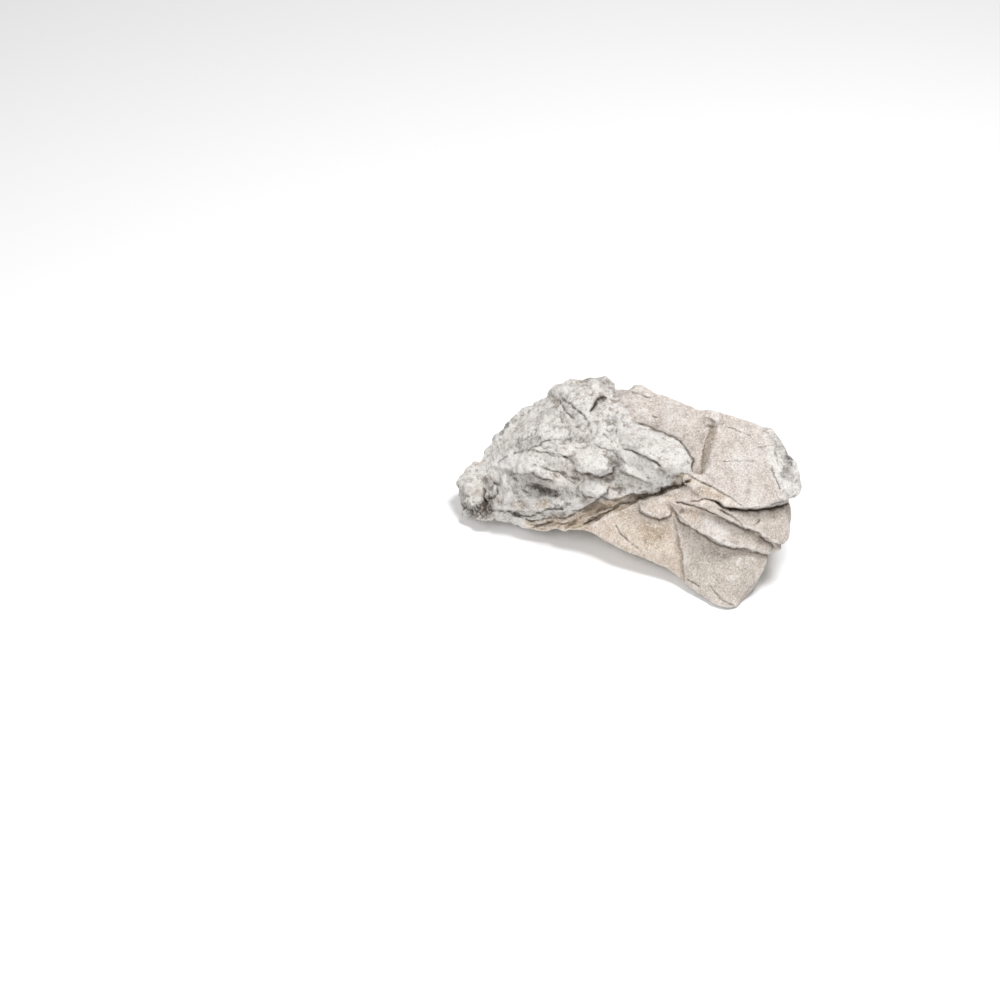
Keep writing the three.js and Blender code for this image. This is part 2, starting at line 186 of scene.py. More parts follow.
# Zones of the stone
zones = {
    "mass": [  # the wrinkled mass
        (-4.5, 159), (-7, 108.5), (3, 96), (23, 87), (39, 80), (47.5, 65.5), (44.5, 52.5),
        (31.5, 46),
        (16, 39.5), (-6, 36.5), (-20, 36), (-31, 29), (-42, 24.5), (-81.5, 17.5), (-135.5, 18.5),
        (-178.5, 36.5), (-178.5, 159),
    ],
    "end": [
        (92, 100), (93, 91), (99, 84.5), (104, 76.5), (101.5, 69), (103, 62), (104.5, 53.5),
        (109.5, 44),
        (114, 37.5), (140, 34), (140, 100),
    ],
    "cool": [
        (36, 16), (39, 1), (41, -24), (52, -60), (130, -60), (130, 30), (92, 29), (70, 31),
        (60, 22),
    ],
    "finger": [
        (-8, 90), (5, 93), (20, 87), (38, 79), (46, 66), (44.5, 55), (30, 48), (16, 44),
        (4, 52), (-6, 62),
        (-14, 76),
    ],
    "strip": [
        (60.5, 91.5), (57, 83), (53.8, 73.8), (52, 57), (53.4, 54.5), (56.4, 61), (59.8, 72),
        (62.4, 80.5),
        (65.7, 89.2),
    ],
    "seam": [  # crumbly brown band under the brim, and the crumbs at its end
        (-76, 22.5), (-63.5, 23), (-54.5, 25.5), (-45, 25), (-36, 28.5), (-22.5, 36.5),
        (-14.5, 37.5),
        (2, 41), (14, 40.8), (31.5, 46), (34.5, 53), (39.5, 55.6), (46, 55.4), (50, 52), (46, 49.5),
        (34, 45.2), (18, 40), (-3, 31.5), (-17.5, 25), (-33, 16), (-49, 12), (-62, 13), (-71, 17),
    ],
    "beds": [  # below the slab and its pivot crack
        (43.5, 54), (56, 48), (67.5, 41.5), (82, 31), (98.5, 29), (130, 30), (130, -20),
        (103, -3), (81.5, 1),
        (64.5, 5), (44.5, 17.5), (33, 25), (24, 23), (9, 29), (9, 36), (23, 41.5),
    ],
}

# Cracks: where, how wide and how deep, in millimetres
cracks = [
    ([(-33, 18.5), (-17.5, 27.5), (-3, 34), (8.5, 38), (13, 39.4)], 0.8, 3),
    ([(6, 37.2), (12, 39.2), (18, 41), (23, 42.5), (33.5, 47), (37.7, 46.8), (42, 49.8),
      (46, 51)], 1.3, 3.5),
    ([(44, 35.6), (56.5, 37.6), (62.3, 36.4), (68, 33)], 0.6, 1.4),
    ([(62.3, 36.4), (68.1, 32.8), (73.9, 30.4), (83.5, 29.7), (93.2, 29.9), (102.8, 30.8),
      (117, 34.2)], 1, 5),
    ([(34.5, 54), (39, 55.6), (43.5, 55.5), (49.8, 51.5), (57, 48), (67.5, 42.5), (73.5, 39.5),
      (84, 31.5)], 0.7, 1.5),
    ([(33, 36), (40.1, 34.2), (47.9, 33.1), (54.6, 30.4), (64.2, 26.5)], 0.8, 1.8),
    ([(12, 54), (17.5, 51.5)], 0.7, 1.2),
    ([(-7.6, 90), (-8.4, 87), (-8.2, 83)], 0.9, 1.6),
    ([(-20, 85.2), (-16, 83), (-13, 80.4)], 0.6, 0.9),
    ([(-4, 74.5), (4, 72), (14.5, 67.8), (21, 64), (24.6, 60.6)], 0.7, 2),
    ([(5, 93), (20, 86.8), (37.8, 79.2)], 0.6, 1),
    ([(-15.5, 112.5), (-22, 109), (-25, 103.5), (-28.5, 99.5)], 1.6, 4),
    ([(1, 115.5), (6.5, 113.5), (13.5, 111), (17.5, 111)], 0.7, 1.2),
    ([(17, 99.5), (19.5, 97.5), (23, 96.5)], 0.8, 1.2),
    ([(65, 65), (78, 65.4), (92.5, 65)], 0.5, 0.6),
    ([(70.5, 90.5), (78, 87), (89, 83)], 0.5, 0.7),
    ([(93, 74.3), (99, 75.2), (105.7, 77)], 0.5, 0.9),
    ([(103, 63.5), (104.5, 57), (107, 50), (110.5, 43)], 0.6, 1.2),
    ([(105.5, 73), (107.5, 68), (109, 60)], 0.8, 1.6),
    ([(96.5, 40.5), (98.8, 38.8)], 0.7, 0.9),
    ([(-84, 27), (-76, 24), (-69.4, 21.8), (-62, 23), (-54.7, 25), (-45.4, 24.5),
      (-36.3, 28)], 0.7, 1.6),
    ([(-70, 17), (-60, 19), (-52, 21.5)], 0.7, 1.6),
    ([(-88, 29.6), (-84, 28.2), (-78, 25.8), (-70, 25.2), (-64.3, 27.4), (-57.6, 30),
      (-45, 30)], 0.7, 2),
    ([(-76, 38), (-70, 40.5), (-62, 38.5)], 0.6, 0.8),
    ([(-112, 30), (-107, 28.5), (-102, 25.5)], 0.7, 1.4),
    ([(-10, 20), (-4.5, 12.5), (3, 5.5), (12, -1)], 0.6, 0.9),
    ([(-20.5, 23.5), (-21, 18)], 0.6, 1),
    ([(41, -18.5), (53.5, -26.5)], 0.6, 0.8),
    ([(52.5, 6.5), (59, -11)], 0.5, 0.4),
    ([(57.5, -23), (67.5, -34.5), (78, -40)], 0.6, 0.7),
    ([(-49, 58.5), (-42, 54), (-34.5, 51)], 0.8, 1.2),
    ([(-98.5, 50.5), (-94.5, 48), (-93.5, 42.5), (-97, 37.5), (-101, 37.5)], 0.9, 1.8),
    ([(64, 31), (74.5, 25.5), (80, 21), (83.5, 17.5)], 0.8, 1.8),
    ([(96.1, 23.6), (93, 20.5), (91.2, 17.8)], 0.7, 1),
    ([(-30, 21), (-20, 29.5), (-8, 33.5), (5, 38.5)], 0.7, 1.6),
    ([(-60, 21), (-46, 20), (-36, 23)], 0.7, 1.6),
    ([(-12, 47.2), (-9, 43.2)], 0.5, 0.5),
    ([(-95.3, 60.7), (-91.8, 66), (-84, 69.5), (-77.8, 72.1), (-68, 75), (-60.4, 79),
      (-53.4, 81.7)], 0.7, 1.2),
    ([(-49.9, 109.6), (-46.5, 103), (-41.5, 98.5), (-40.3, 94.7)], 0.9, 1.6),
    ([(-62, 73.5), (-58.6, 71.2), (-51, 70.4), (-44.7, 67.7), (-37.7, 62.5)], 0.7, 1.3),
    ([(-69.1, 62.5), (-63, 61.4), (-56.9, 59), (-50, 57.3), (-44.7, 53.7),
      (-37.7, 46.8)], 0.7, 1.3),
    ([(-23.7, 76.4), (-15, 72.9), (-10.5, 71.6), (-6.3, 67.7), (2.5, 60.7)], 0.7, 1.1),
    ([(-84, 55), (-78, 50.5), (-76, 45), (-70, 41)], 0.6, 1),
    ([(38.2, 81.7), (39.6, 76)], 0.6, 1),
    ([(-10, 48.4), (-6.8, 44.4)], 0.5, 0.5),
]

# Ledges: where, how far the left side of the line stands out, how far back that reaches,
# and how deep and wide the foot is
ledges = [
    # tongue
    ([(7.5, 34), (9, 29), (17, 25.5), (23.5, 23.5), (30, 25.5), (32, 30.5)], 2.4, 10, 1.5, 1.1),
    # flake
    ([(-39, 63), (-37, 58), (-33, 56), (-26, 56), (-18.5, 53.5), (-11.5, 56.5),
      (-10, 63)], 4, 14, 2, 1.4),
    ([(-36, 44), (-30, 39), (-21, 38), (-15, 42), (-14, 48)], 3.4, 10, 1.6, 1.3),  # lobe under it
    ([(2.5, 73.5), (12.5, 68.5), (20, 65), (26, 60)], 3, 9, 0.9, 1.1),  # between the fingers
    ([(46.5, 56), (46.5, 65), (43.5, 70.5), (39, 77.5), (37.5, 80), (32.5, 82), (17.5, 88),
      (5, 93.5)], 3, 9, 1.8, 1.2),
    ([(-8, 60), (0, 56), (10, 52), (20, 48.5)], 2.4, 7, 1.4, 1.2),
    ([(-42, 28.5), (-31.5, 31), (-22.5, 36.5), (-19, 40), (-14.5, 37.5), (-4.5, 38), (2, 41.5),
      (11, 41.2), (18, 42)], 3, 8, 1.5, 1),  # brim
    ([(12, 41), (18, 41.8), (25, 44.4), (33.5, 48)], 1.7, 7, 0.8, 0.8),  # its thin right end
    ([(-99.5, 30), (-88.5, 29.5), (-78, 29), (-68, 28.5), (-56, 28),
      (-42, 28.5)], 1.6, 8, 0.9, 1.4),
    ([(52.1, 57), (53.8, 73.8), (57.1, 83.2), (60, 90)], 0.8, 8, 0.4, 0.9),  # left edge of the step
    # fold beside the left tip
    ([(-105.5, 48), (-102.4, 43.5), (-103.8, 39), (-100.4, 35), (-101.6, 30.5),
      (-98.6, 26)], 1.5, 9, 1.8, 1.5),
    ([(33.5, 25.5), (38, 21.5), (44.5, 18.5), (50.5, 14.5), (57.5, 10.5), (64.5, 6), (71.5, 3),
      (81.5, 2), (92, 0),
      (104, -3.5)], 1.8, 11, 1.6, 1.1),  # lowest bed
    ([(47.9, 33.1), (54.6, 30.4), (64.2, 26.5), (72.9, 21.7), (83.5, 16.9), (93.2, 14),
      (100.9, 7.2), (108, 2)],
     1.8, 10, 1.8, 1.1),  # bed above it
    ([(56.5, 37.6), (62.3, 36.4), (68.1, 32.8), (73.9, 30.4), (83.5, 29.7), (93.2, 29.9),
      (102.8, 30.8),
      (118, 34.2)], 1.6, 14, 1.6, 1.1),  # slab
    # ridge under the tongue
    ([(32.4, 26.5), (36.3, 15), (39.2, 0.5), (40.6, -13), (41, -24)], 0.9, 16, 0.7, 6),
    # step beside it
    ([(66.5, 92), (65.5, 88.5), (62.5, 81.5), (60, 72), (57, 62), (53.5, 55.5)], 2, 22, -2, 2.6),
    ([(-50, 112), (-40, 106), (-31, 98), (-27, 90)], 2.2, 9, 0.6, 1.6),  # foot of the back knob
    ([(-90, 60), (-80, 56), (-68, 57), (-60, 52), (-52, 52)], 2.6, 9, 1.2, 1.3),
    ([(-73, 74), (-60, 72), (-48, 68), (-38, 70)], 2, 9, 0.6, 1.2),
]

# Lobes and hollows: where, how long and wide, how far turned in degrees, and how far they stand out
lobes = [
    ((-26, 65), (13, 10), -12, 2.6),
    ((-24, 46), (10, 7), 8, 2.4),
    ((-89, 43), (6, 9.5), 25, 3),
    ((-63, 45), (8, 3.2), -18, -2.4),
    ((-55, 42.5), (7, 3.6), -12, -2.8),
    ((-70, 50), (6, 4), 20, -0.8),
    ((20, 44.5), (27, 3.6), 19, 2),
    ((61, 95.5), (7, 5), 30, 2.8),
    ((-104, 59), (9, 6), 35, 2),
    ((-82, 22), (16, 4.4), -10, 1.6),
    ((-84, 64), (9, 6), 30, 2.4),
    ((-66, 62), (9, 6), -20, 2.2),
    ((-52, 63), (8, 6), 10, 2),
    ((-76, 80), (10, 7), 40, 2.6),
    ((-58, 94), (10, 7), 30, 2.6),
    ((-40, 96), (8, 6), -20, 2),
    ((-115, 46), (7, 6), 20, 2.6),
    ((-113, 34), (8, 4), -30, 2.4),
    ((-40, 113), (10, 7), 10, 2.6),
    ((-20, 118), (8, 5), -20, 2),
    ((-50, 80), (12, 2.4), 0, -1.8),
    ((18, 76), (19, 4.6), -32, 2),
    ((12, 61), (13, 3.6), -34, 1.8),
    ((-5, 92), (12, 6), -38, 1.8),
]

pivot = ((42, 52.5), (11, 7), 0)  # where the seam ends and the slab's crack begins
plug = {"place": (104.6, 7, 31.6), "radius": 4.6}  # fills a pit between two blocks of the right end

# Shades: where, how long and wide, how far turned in degrees, and how strong
shades = {
    # grey: partly the stone's own grey patches, partly painted shade on the hollow, the left tip's
    # underside and fold, and the shaded left edge
    "grey": [
        ((-11, 61), (5.5, 4.5), 30, 1), ((-62, 45), (11, 4.5), -18, 1), ((-112, 26.5),
        (12, 6), 0, 1),
        ((-101, 44), (3.4, 8), 15, 0.9), ((-38, 81), (14, 2.6), -4, 0.8), ((-30, 126),
        (13, 4.6), 0, 1), ((-12, 121), (7, 4), -20, 0.7),
        ((-75, 77), (20, 5), 14, 0.9), ((-70, 52), (11, 6), 5, 0.9), ((-45, 42),
        (9, 6), -15, 0.7), ((-42.5, 98.5), (4.5, 4.5), 0, 0.6),
        ((-57, 114), (4, 9), 0, 0.7), ((-5, 62), (6, 5), 0, 0.5), ((115, 66), (5, 9), 10, 1),
        ((108, 74), (4, 5), 20, 0.7), ((111, 58), (3, 4), 0, 0.6),
        ((115.5, 54), (5, 4.4), 0, 1), ((110, 82), (3, 6), 40, 0.6), ((-20, 106), (5, 5), 40, 0.6),
        ((-98.5, 46), (2.6, 5.5), 12, 0.9), ((-118, 39), (4, 10), 12, 1), ((-7, 67),
        (8.5, 4.5), -40, 1),
        ((-52, 64), (9, 4), -20, 0.5), ((-92, 88), (13, 4.5), 48, 0.9),
        ((-100, 40), (5, 11), 10, 0.8), ((-60, 97), (10, 5), 50, 0.5), ((-30, 92),
        (8, 4), -30, 0.4), ((28, 46.2), (6, 1.6), 20, 0.6),
    ],
    # dark: mostly painted shade in hollows, crevices, folds and undersides, with a few dark patches of
    # the stone itself
    "dark": [
        ((-64, 45), (8, 2.6), -14, 1), ((-55, 42.6), (6.5, 3), -10, 1), ((-107, 29),
        (10.5, 5.5), -15, 1),
        ((-104.5, 33), (4.5, 5), 0, 0.7), ((-117.5, 33), (5, 4), 0, 0.7), ((-31, 126.5),
        (11, 3.2), 0, 0.7),
        ((-8, 65), (5.5, 3.5), -40, 0.4), ((-100.5, 34), (3.2, 9), 8, 0.7), ((-56, 51),
        (9, 2.4), -20, 0.4),
        ((-22, 106), (2.6, 7), -45, 0.8), ((-50, 28), (6, 2), 0, 0.5), ((-8.5, 55.5),
        (4, 3), 20, 0.5),
        ((-50.3, 31.8), (8, 2.4), 3, 0.8), ((116, 67), (3.6, 7), 15, 0.8), ((112, 56),
        (2.4, 4), 0, 0.5), ((117, 40), (4, 3), 0, 0.4),
        ((41, 51.5), (6, 2), 30, 0.4), ((48, 45), (9, 3), -30, 0.3), ((-30, 30), (7, 2), 25, 0.4),
        ((-15, 120), (8, 3), -30, 0.3), ((-88, 92), (10, 3), 60, 0.5),
    ],
    "warm": [
        ((18.5, 15), (14, 12), 0, 1), ((-60, 33.5), (6, 5.5), 0, 1.4), ((-77.6, 30.8),
        (5, 2.4), 0, 0.7),
        ((40.5, 52.5), (6, 3), -10, 0.9), ((32.3, 59.8), (2.2, 1.8), 0, 0.9),
        ((-7.5, 45.5), (5, 5), 0, 0.6), ((2, 50), (8, 4), -20, 0.4), ((60, 42), (16, 7), -28, 0.5),
        ((-78, 34), (8, 3), -10, 0.4), ((0, 28), (16, 6), 20, 0.5), ((46, 27), (9, 4), -25, 0.4),
    ],
    "pale": [
        ((-26, 65), (13, 10.5), -12, 1), ((-78, 63), (24, 9), 5, 0.8), ((10, 60),
        (22, 9), -32, 1.3), ((-88, 62), (13, 8), 25, 0.9),
        ((108.5, 56), (3.4, 8), 0, 1), ((114, 46), (5, 3.4), 20, 0.9), ((-68, 37),
        (7, 3.4), 5, 1), ((-114, 26), (3.5, 2), -20, 1),
        ((35, 68), (9, 8), -30, 0.8), ((-24, 46), (10.5, 8), 8, 1),
        ((22, 50), (9, 4), 20, 0.7), ((80, -7), (3, 3.4), 0, 1), ((89, -4.5), (5.5, 1.8), -10, 1),
        ((92, -31), (4, 5), 30, 0.7), ((66, 8), (6, 4), -30, 0.4), ((62, 19), (15, 5), -30, 0.6),
        ((-88, 43), (5, 9), 25, 0.7), ((26, 80), (10, 5), -32, 0.5),
        ((104, 68), (4, 9), 10, 0.8), ((-82, 22), (16, 4.4), -10, 0.8),
    ],
}

surface = {
    "voxel": 0.65,  # millimetres
    "smoothing": (5, 14),  # rounds on the plain faces, and more of them on the mass
    "points": 96000,  # that the finished skin keeps
    "wrinkle": 0.8,  # height of the wrinkles on the mass, in millimetres
    "flake": 0.9,  # height of its flakes at their lower edge
    "pillow": 1.9,  # how far its pillows stand out of the creases between them
    "chip": 0.9,  # how deep the chips in them are
    "lump": 1.1,  # height of its lumps, which are low elsewhere
    "grain": 0.32,  # height of the finest relief
    "strata": 1.3,  # height of the ledges on the hidden sides
}


# Millimetres from one to the next, in the noise that shapes the skin
spans = {
    "wander": 7,
    "scales": 17,
    "sag": 24,  # of the scales
    "flakes": 19,
    "warp": 14,
    "folds": 15,
    "pillows": 15,
    "lumps": 9,
    "chips": 6.5,
    "fine": 2.4,
    "crumbs": 5,
    "shelves": 9,
    "drift": 45,  # of the shelves
    "breaks": 6,
}

# Degrees that these lean from the horizontal of the drawing
leans = {"scales": -24, "folds": -33, "pillows": -28, "crumbs": 21}


def leaned(points, degrees):  # points along, across and out of a direction in the drawing
    c, s = math.cos(math.radians(degrees)), math.sin(math.radians(degrees))
    along = acrossAxis * c + upAxis * s
    across = upAxis * c - acrossAxis * s
    return np.stack((points @ along, points @ across, points @ towardsEye), axis=1)


def inOval(places, spot):  # 1 at the middle of a drawn oval, 0 at its edge
    (x, y), (long, wide), turn = spot[:3]
    c, s = math.cos(math.radians(turn)), math.sin(math.radians(turn))
    dx, dy = places[:, 0] - x, places[:, 1] - y
    return np.clip(1 - ((dx * c + dy * s) / long) ** 2 - ((dy * c - dx * s) / wide) ** 2, 0, 1)


def wander(points, reach):  # small sideways steps that keep drawn lines from looking drawn
    steps = [field(points, spans["wander"], offset=offset) for offset in (0, 31)]
    return np.stack(steps, axis=1) * reach


def scales(points):  # overlapping flakes: 0 behind a flake, rising to 1 at its lower edge
    height = leaned(points, leans["scales"])[:, 1] / spans["scales"]
    height += 0.9 * field(points, spans["sag"], octaves=4, offset=11)
    return 1 - (height - np.floor(height))


def flaked(points):
    return field(points, spans["flakes"], offset=41)


def layered(points):
    leaning = leaned(points, leans["crumbs"])
    return field(leaning, spans["crumbs"], "billow", squeeze=(0.2, 1.2, 0.6), offset=5)


def roughness(places, normals):  # 1 on the wrinkled mass and the rough end, then 1 on the hidden sides
    mass = np.maximum(insideShape(places, zones["mass"], 4), insideShape(places, zones["end"], 3))
    hiddenSide = 1 - smoothStep(normals @ towardsEye, -0.25, 0.2)
    return mass, hiddenSide


def carve(points, normals):
    places = drawnAt(points)
    facing = smoothStep(normals @ towardsEye, 0.0, 0.45)
    mass, hiddenSide = roughness(places, normals)
    seam = insideShape(places, zones["seam"], 2) * facing
    rise = np.zeros(len(points))

    # drawn ledges, lobes and cracks, on what the camera sees
    drawn = places + wander(points, 1)
    for line, high, reach, foot, wide in ledges:
        gap, side, end = nearLine(drawn, line)
        taper = smoothStep(end, 0, 5) * facing
        above = (side > 0) * high * (1 - smoothStep(gap, 0, reach))
        below = (side <= 0) * foot * np.exp(-((gap / wide) ** 2))
        rise += (above - below) * taper
    ragged = places + wander(points, 2.4)
    for lobe in lobes:
        rise += lobe[3] * inOval(ragged, lobe) ** 0.6 * facing
    for line, wide, deep in cracks:
        gap, side, end = nearLine(drawn, line)
        rise -= deep * np.exp(-((gap / wide) ** 2)) * smoothStep(end, 0, 3) * facing
    moved = points + towardsEye * rise[:, None]

    # wrinkles, flakes, pillows, chips, lumps and grain, by zone
    rough = np.clip(mass + 0.8 * hiddenSide, 0, 1)
    rough *= 1 - 0.55 * insideShape(places, zones["finger"], 5)
    warp = 3 * np.stack([field(points, spans["warp"], offset=o) for o in (51, 61, 71)], axis=1)
    wrinkles = field(leaned(points, leans["folds"]), spans["folds"], "billow", squeeze=(0.5, 1.1, 1))
    lumps = field(points, spans["lumps"], octaves=4, offset=7)
    leaning = leaned(points, leans["pillows"]) + warp
    pillows = field(leaning, spans["pillows"], "dots", squeeze=(0.65, 1.1, 1), offset=3) ** 2
    chips = field(points + 0.5 * warp, spans["chips"], "dots", offset=13) ** 2
    flakes = smoothStep(flaked(points), -0.35, 0.25)
    fine = field(points, spans["fine"], octaves=2, offset=17)
    out = surface["wrinkle"] * rough * wrinkles
    out += surface["flake"] * rough * flakes * (scales(points) ** 1.6 - 0.4)
    out += surface["lump"] * (0.2 + 0.8 * rough) * lumps
    out += rough * (surface["pillow"] * (0.4 - pillows) + surface["chip"] * (chips - 0.3))
    out += surface["grain"] * (0.3 + rough) * fine
    # crumbly layers in the seam, and ledges on the hidden sides
    crumbs = 1.8 * layered(points) + 0.8 * lumps
    out += seam * (1 - 0.8 * inOval(places, pivot) ** 0.5) * crumbs
    tall = points[:, 2] + 0.2 * points[:, 0] + 7 * field(points, spans["drift"], offset=9)
    step = tall / spans["shelves"]
    out += surface["strata"] * hiddenSide * ((step - np.floor(step)) ** 2.2 - 0.4)
    return moved + normals * out[:, None]


def bedGround(points):  # nothing goes below the ground, and the foot keeps its flat patch
    points[:, 2] = np.maximum(points[:, 2], 0)
    return points


def keepInBox(points, box):
    low, high = (np.array(corner) * perMetre for corner in box)
    return np.clip(points, low, high)


def useModifier(piece, kind, settings):
    added = piece.modifiers.new(kind.lower(), kind)
    for name, value in settings.items():
        setattr(added, name, value)
    bpy.context.view_layer.objects.active = piece
    bpy.ops.object.modifier_apply(modifier=added.name)


def keepLargest(mesh):  # drops the crumbs that the remesh leaves inside
    shape = bmesh.new()
    shape.from_mesh(mesh)
    left = set(shape.verts)
    pieces = []
    while left:
        piece, edge = set(), {left.pop()}
        while edge:
            piece |= edge
            edge = {e.other_vert(v) for v in edge for e in v.link_edges} - piece
        left -= piece
        pieces.append(piece)
    pieces.sort(key=len)
    for piece in pieces[:-1]:
        bmesh.ops.delete(shape, geom=list(piece), context="VERTS")
    shape.to_mesh(mesh)
    shape.free()


def makeSkin():
    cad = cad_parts["stone"]
    mesh = bpy.data.meshes.new("stoneSkin")
    shape = bmesh.new()
    shape.from_mesh(cad.data)
    bmesh.ops.transform(shape, matrix=cad.matrix_world, verts=shape.verts)
    bmesh.ops.remove_doubles(shape, verts=shape.verts, dist=1e-6)
    place = Matrix.Translation(Vector(plug["place"]) / perMetre)
    bmesh.ops.create_icosphere(shape, subdivisions=3, radius=plug["radius"] / perMetre, matrix=place)
    shape.to_mesh(mesh)
    shape.free()
    skin = bpy.data.objects.new("stoneSkin", mesh)
    bpy.context.scene.collection.objects.link(skin)
    useModifier(skin, "REMESH", {"mode": "VOXEL", "voxel_size": surface["voxel"] / perMetre})
    keepLargest(skin.data)
    print("remeshed", len(skin.data.vertices))
    edges = adjacency(skin.data)
    few, more = surface["smoothing"]
    points = spread(pointsOf(skin.data), edges, few)
    places = drawnAt(points)
    hiddenSide = roughness(places, normalsOf(skin.data))[1]
    rough = np.maximum(insideShape(places, zones["mass"], 11), hiddenSide)[:, None]
    points = points * (1 - rough) + spread(points, edges, more) * rough
    movePoints(skin.data, points)
    points = carve(points, normalsOf(skin.data))
    points = spread(points, edges, 1)
    movePoints(skin.data, keepInBox(bedGround(points), cadBox))
    useModifier(skin, "DECIMATE", {"ratio": surface["points"] / len(points)})
    movePoints(skin.data, keepInBox(bedGround(pointsOf(skin.data)), cadBox))
    skin.data.polygons.foreach_set("use_smooth", np.ones(len(skin.data.polygons), bool))
    print("carved", len(skin.data.vertices), "points", len(skin.data.polygons), "facets")
    return skin


def addSignal(mesh, name, values):
    layer = mesh.attributes.new(name, "FLOAT", "POINT")
    layer.data.foreach_set("value", np.ascontiguousarray(values, np.float32))


# How far around a point a hollow is looked for, in steps along the mesh, and how deep a full one is
hollows = {"hollow": (3, 0.3), "wideHollow": (17, 1.1)}
crackShare = 0.55  # of a crack's width that is dark


def markSkin(skin):
    mesh = skin.data
    points, normals = pointsOf(mesh), normalsOf(mesh)
    places = drawnAt(points)
    facing = smoothStep(normals @ towardsEye, -0.2, 0.25)
    edges = adjacency(mesh)
    drawn = places + wander(points, 1)
    mass, hiddenSide = roughness(places, normals)
    broken = smoothStep(field(points, spans["breaks"], offset=23), -0.45, 0.15)
    lines, under = np.zeros(len(points)), np.zeros(len(points))
    for line, wide, deep in cracks:
        gap, side, end = nearLine(drawn, line)
        mark = np.exp(-((gap / (wide * crackShare)) ** 2)) * smoothStep(end, 0, 3)
        mark *= min(1, 0.4 + deep / 3)
        lines = np.maximum(lines, mark * facing * np.maximum(broken, deep > 1.9))
    for line, high, reach, foot, wide in ledges:
        gap, side, end = nearLine(drawn, line)
        taper = smoothStep(end, 0, 5) * facing
        mark = np.exp(-((gap / 0.55) ** 2)) * taper * np.clip(0.4 * foot - 0.1, 0, 0.7)
        lines = np.maximum(lines, mark * (0.25 + 0.75 * broken))
        # under: painted shade, a soft dark band on the lower side of each ledge
        under = np.maximum(under, np.exp(-gap / 4) * (side <= 0) * taper * np.clip(0.55 * foot, 0, 1))
    flakes = smoothStep(flaked(points), -0.1, 0.35)
    edge = smoothStep(1 - scales(points), 0.12, 0.02) * np.clip(mass + hiddenSide, 0, 1) * flakes
    lines = np.maximum(lines, 0.4 * edge * broken)
    addSignal(mesh, "lines", lines)
    addSignal(mesh, "under", under)
    around, done = points, 0
    for name, (steps, full) in hollows.items():
        around, done = spread(around, edges, steps - done), steps
        depth = ((around - points) * normals).sum(1)
        addSignal(mesh, name, np.clip(depth / full, -1, 1) * 0.5 + 0.5)
    addSignal(mesh, "mass", np.clip(mass + 0.6 * hiddenSide, 0, 1))
    addSignal(mesh, "seam", insideShape(drawn, zones["seam"], 1.5) * facing)
    addSignal(mesh, "beds", insideShape(places, zones["beds"], 2.5))
    addSignal(mesh, "cool", insideShape(drawn, zones["cool"], 5))
    addSignal(mesh, "strip", insideShape(places + wander(points, 0.5), zones["strip"], 0.7) * facing)
    addSignal(mesh, "layers", layered(points) * 0.5 + 0.5)
    ragged = places + wander(points, 2.4)
    for name, spots in shades.items():
        strength = sum(spot[3] * inOval(ragged, spot) ** 0.7 for spot in spots)
        addSignal(mesh, name, np.clip(strength, 0, 1) * facing)


def paint(code):  # a colour written as on the web, in linear light
    parts = [int(code[i:i + 2], 16) / 255 for i in (0, 2, 4)]
    return (*[p / 12.92 if p < 0.04045 else ((p + 0.055) / 1.055) ** 2.4 for p in parts], 1)


class Signal:  # a shader socket that takes part in plain arithmetic
    def __init__(self, shader, socket):
        self.shader = shader
        self.socket = socket

    def math(self, operation, *others):
        sockets = dict(enumerate((self, *others)))
        return self.shader.node("ShaderNodeMath", {"operation": operation}, sockets)

    def __add__(self, other):
        return self.math("ADD", other)

    def __sub__(self, other):
        return self.math("SUBTRACT", other)

    def __rsub__(self, other):
        return self.shader.node("ShaderNodeMath", {"operation": "SUBTRACT"}, {0: other, 1: self})

    def __mul__(self, other):
        return self.math("MULTIPLY", other)

    __radd__ = __add__
    __rmul__ = __mul__

    def between(self, low, high):  # 0 below low, 1 above high
        sockets = {"Value": self, "From Min": low, "From Max": high}
        return self.shader.node("ShaderNodeMapRange", {"interpolation_type": "SMOOTHSTEP"}, sockets)


class Shader:
    def __init__(self, name):
        self.material = bpy.data.materials.new(name)
        self.material.use_nodes = True
        self.tree = self.material.node_tree
        self.surface = self.tree.nodes["Principled BSDF"]

    def node(self, kind, settings=None, sockets=None, output=0):
        made = self.tree.nodes.new(kind)
        for name, value in (settings or {}).items():
            setattr(made, name, value)
        for key, value in (sockets or {}).items():
            if isinstance(value, Signal):
                self.tree.links.new(value.socket, made.inputs[key])
            else:
                made.inputs[key].default_value = value
        return Signal(self, made.outputs[output])

    def attribute(self, name):
        return self.node("ShaderNodeAttribute", {"attribute_name": name}, output=2)

    def noise(self, point, scale, detail, roughness, distortion):
        sockets = {"Scale": scale, "Detail": detail, "Roughness": roughness, "Distortion": distortion}
        return self.node("ShaderNodeTexNoise", {}, {"Vector": point, **sockets})

    def cells(self, point, scale):
        return self.node("ShaderNodeTexVoronoi", {}, {"Vector": point, "Scale": scale})

    def mix(self, below, above, share, blend="MIX"):
        settings = {"data_type": "RGBA", "blend_type": blend}
        return self.node("ShaderNodeMix", settings, {0: share, 6: below, 7: above}, output=2)

    def finish(self, name, value):
        self.tree.links.new(value.socket, self.surface.inputs[name])


stoneColours = {
    "slab": "d2c7bf",
    "slabShade": "aea29b",
    "lower": "e2d2c3",
    "lowerShade": "b4a18e",
    "coolLower": "cdc3ba",
    "coolShade": "a99e94",
    "massPale": "f0ede9",
    "massGrey": "a9a5a2",
    "massWarm": "dccfc0",
    "rose": "dccbc3",
    "white": "fbf8f4",
    "strip": "aa9d8d",
    "seam": "c9b498",
    "seamDarkAndShade": "6e5a40",
    "stain": "a88f6b",
    # dark is mostly painted shade, laid on by the dark ovals
    "dark": "4f4944",
    "crack": "33291f",
    "speckAndShade": "6f665e",
}


